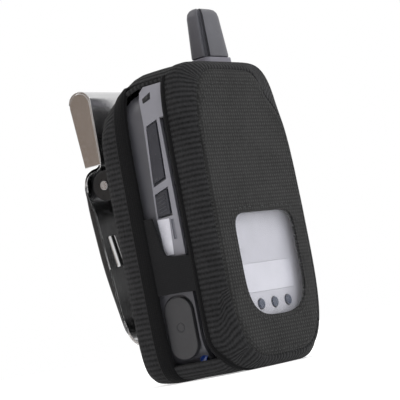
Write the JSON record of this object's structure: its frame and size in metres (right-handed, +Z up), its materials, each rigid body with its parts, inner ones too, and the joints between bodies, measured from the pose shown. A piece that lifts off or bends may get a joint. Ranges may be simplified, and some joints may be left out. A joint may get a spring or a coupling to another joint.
{
  "type": "flip radio handset in a carry case",
  "caption": "Folding two-way radio phone with a stub aerial, in a ribbed fabric case with a clear window and a sprung steel belt clip.",
  "frame": {"origin": "middle of the case's flat base", "axes": "+Z up along the handset, -Y is the front, +X is the right side seen from the front"},
  "size_m": [0.058, 0.0542, 0.1226],
  "materials": {
    "housing_grey": "satin moulded plastic",
    "silver_plastic": "satin silver paint on plastic",
    "cover_silver": "satin silver paint on plastic",
    "key_grey": "satin",
    "key_blue": "gloss",
    "soft_rubber": "matte",
    "aerial_plastic": "satin",
    "woven_front": "woven nylon",
    "ribbed_elastic": "ribbed elastic webbing",
    "smooth_elastic": "smooth elastic",
    "clear_vinyl": "clear soft vinyl",
    "polished_steel": "polished nickel plate",
    "blackened_steel": "black lacquer",
    "spring_steel": "bare",
    "plain_steel": "bare",
    "brass": "bare",
    "circuit_board": "solder mask",
    "display": "display glass",
    "battery_wrap": "satin",
    "black_plastic": "matte"
  },
  "bodies": {
    "handset": {"rear_housing": "housing_grey", "front_housing": "housing_grey", "left_side_frame": "silver_plastic", "battery_pack": "battery_wrap", "battery_door": "housing_grey", "main_board": "circuit_board", "radio_shield": "plain_steel", "keypad_mat": "soft_rubber", "loudspeaker": "black_plastic", "vibration_motor": "plain_steel", "card_holder": "plain_steel", "accessory_connector": "black_plastic", "antenna_collar": "aerial_plastic", "antenna_socket": "brass", "housing_screws": "plain_steel", "hinge_pins": "plain_steel", "case_back_panel": "woven_front", "case_rear_strip": "ribbed_elastic", "case_left_gusset": "smooth_elastic", "case_right_gusset": "smooth_elastic", "case_top_hinge": "ribbed_elastic", "clip_base": "blackened_steel", "clip_pin": "plain_steel", "clip_rivets": "blackened_steel", "clip_spring": "spring_steel"},
    "cover": {"flip_outer_shell": "cover_silver", "flip_inner_shell": "silver_plastic", "small_display": "display", "large_display": "display", "large_display_lens": "clear_vinyl", "earpiece": "black_plastic", "flip_board": "circuit_board", "case_front_panel": "woven_front", "case_front_strip": "ribbed_elastic", "case_window": "clear_vinyl"},
    "volume_key": {"volume_rocker": "key_grey"},
    "talk": {"talk_key": "key_grey"},
    "socket_cover": {"connector_cover": "soft_rubber"},
    "aerial": {"antenna_cap": "aerial_plastic", "antenna_whip": "plain_steel"},
    "clip": {"clip_lever": "polished_steel"},
    "small_1": {"small_key_1": "key_blue"},
    "small_2": {"small_key_2": "key_blue"},
    "small_3": {"small_key_3": "key_blue"},
    "press_star": {"key_star": "key_grey"},
    "press_zero": {"key_zero": "key_grey"},
    "press_hash": {"key_hash": "key_grey"},
    "press_1": {"key_1": "key_grey"},
    "press_2": {"key_2": "key_grey"},
    "press_3": {"key_3": "key_grey"},
    "press_4": {"key_4": "key_grey"},
    "press_5": {"key_5": "key_grey"},
    "press_6": {"key_6": "key_grey"},
    "press_7": {"key_7": "key_grey"},
    "press_8": {"key_8": "key_grey"},
    "press_9": {"key_9": "key_grey"},
    "press_call": {"key_call": "key_grey"},
    "press_end": {"key_end": "key_grey"},
    "press_navigation": {"key_navigation": "key_grey"},
    "press_select": {"key_select": "key_grey"}
  },
  "joints": [
    {"name": "cover_hinge", "type": "hinge", "parent": "handset", "child": "cover", "pos_m": [0, -0.0085, 0.0895], "axis": [-1, 0, 0], "range_deg": [0, 145], "deforming": ["case_top_hinge"]},
    {"name": "volume_rock", "type": "hinge", "parent": "handset", "child": "volume_key", "pos_m": [-0.02565, 0, 0.0737], "axis": [0, 1, 0], "range_deg": [-2, 2], "stiffness_Nm_per_rad": 0.02},
    {"name": "talk_press", "type": "slide", "parent": "handset", "child": "talk", "axis": [1, 0, 0], "range_m": [0, 0.0004], "stiffness_N_per_m": 2500},
    {"name": "connector_cover_hinge", "type": "hinge", "parent": "handset", "child": "socket_cover", "pos_m": [-0.0269, 0.0028, 0.0078], "axis": [0, -1, 0], "range_deg": [0, 85]},
    {"name": "aerial_slide", "type": "slide", "parent": "handset", "child": "aerial", "axis": [0, 0, 1], "range_m": [0, 0.042]},
    {"name": "clip_hinge", "type": "hinge", "parent": "handset", "child": "clip", "pos_m": [0, 0.0289, 0.0686], "axis": [1, 0, 0], "range_deg": [0, 18], "stiffness_Nm_per_rad": 0.9, "springref_deg": -20.05, "deforming": ["clip_spring"]},
    {"name": "small_key_1_press", "type": "slide", "parent": "cover", "child": "small_1", "axis": [0, 1, 0], "range_m": [0, 0.0004], "stiffness_N_per_m": 2000},
    {"name": "small_key_2_press", "type": "slide", "parent": "cover", "child": "small_2", "axis": [0, 1, 0], "range_m": [0, 0.0004], "stiffness_N_per_m": 2000},
    {"name": "small_key_3_press", "type": "slide", "parent": "cover", "child": "small_3", "axis": [0, 1, 0], "range_m": [0, 0.0004], "stiffness_N_per_m": 2000},
    {"name": "key_star_press", "type": "slide", "parent": "handset", "child": "press_star", "axis": [0, 1, 0], "range_m": [0, 0.0004], "stiffness_N_per_m": 2000},
    {"name": "key_zero_press", "type": "slide", "parent": "handset", "child": "press_zero", "axis": [0, 1, 0], "range_m": [0, 0.0004], "stiffness_N_per_m": 2000},
    {"name": "key_hash_press", "type": "slide", "parent": "handset", "child": "press_hash", "axis": [0, 1, 0], "range_m": [0, 0.0004], "stiffness_N_per_m": 2000},
    {"name": "key_1_press", "type": "slide", "parent": "handset", "child": "press_1", "axis": [0, 1, 0], "range_m": [0, 0.0004], "stiffness_N_per_m": 2000},
    {"name": "key_2_press", "type": "slide", "parent": "handset", "child": "press_2", "axis": [0, 1, 0], "range_m": [0, 0.0004], "stiffness_N_per_m": 2000},
    {"name": "key_3_press", "type": "slide", "parent": "handset", "child": "press_3", "axis": [0, 1, 0], "range_m": [0, 0.0004], "stiffness_N_per_m": 2000},
    {"name": "key_4_press", "type": "slide", "parent": "handset", "child": "press_4", "axis": [0, 1, 0], "range_m": [0, 0.0004], "stiffness_N_per_m": 2000},
    {"name": "key_5_press", "type": "slide", "parent": "handset", "child": "press_5", "axis": [0, 1, 0], "range_m": [0, 0.0004], "stiffness_N_per_m": 2000},
    {"name": "key_6_press", "type": "slide", "parent": "handset", "child": "press_6", "axis": [0, 1, 0], "range_m": [0, 0.0004], "stiffness_N_per_m": 2000},
    {"name": "key_7_press", "type": "slide", "parent": "handset", "child": "press_7", "axis": [0, 1, 0], "range_m": [0, 0.0004], "stiffness_N_per_m": 2000},
    {"name": "key_8_press", "type": "slide", "parent": "handset", "child": "press_8", "axis": [0, 1, 0], "range_m": [0, 0.0004], "stiffness_N_per_m": 2000},
    {"name": "key_9_press", "type": "slide", "parent": "handset", "child": "press_9", "axis": [0, 1, 0], "range_m": [0, 0.0004], "stiffness_N_per_m": 2000},
    {"name": "key_call_press", "type": "slide", "parent": "handset", "child": "press_call", "axis": [0, 1, 0], "range_m": [0, 0.0004], "stiffness_N_per_m": 2000},
    {"name": "key_end_press", "type": "slide", "parent": "handset", "child": "press_end", "axis": [0, 1, 0], "range_m": [0, 0.0004], "stiffness_N_per_m": 2000},
    {"name": "key_navigation_press", "type": "slide", "parent": "handset", "child": "press_navigation", "axis": [0, 1, 0], "range_m": [0, 0.0004], "stiffness_N_per_m": 2000},
    {"name": "key_select_press", "type": "slide", "parent": "handset", "child": "press_select", "axis": [0, 1, 0], "range_m": [0, 0.0004], "stiffness_N_per_m": 2000}
  ]
}
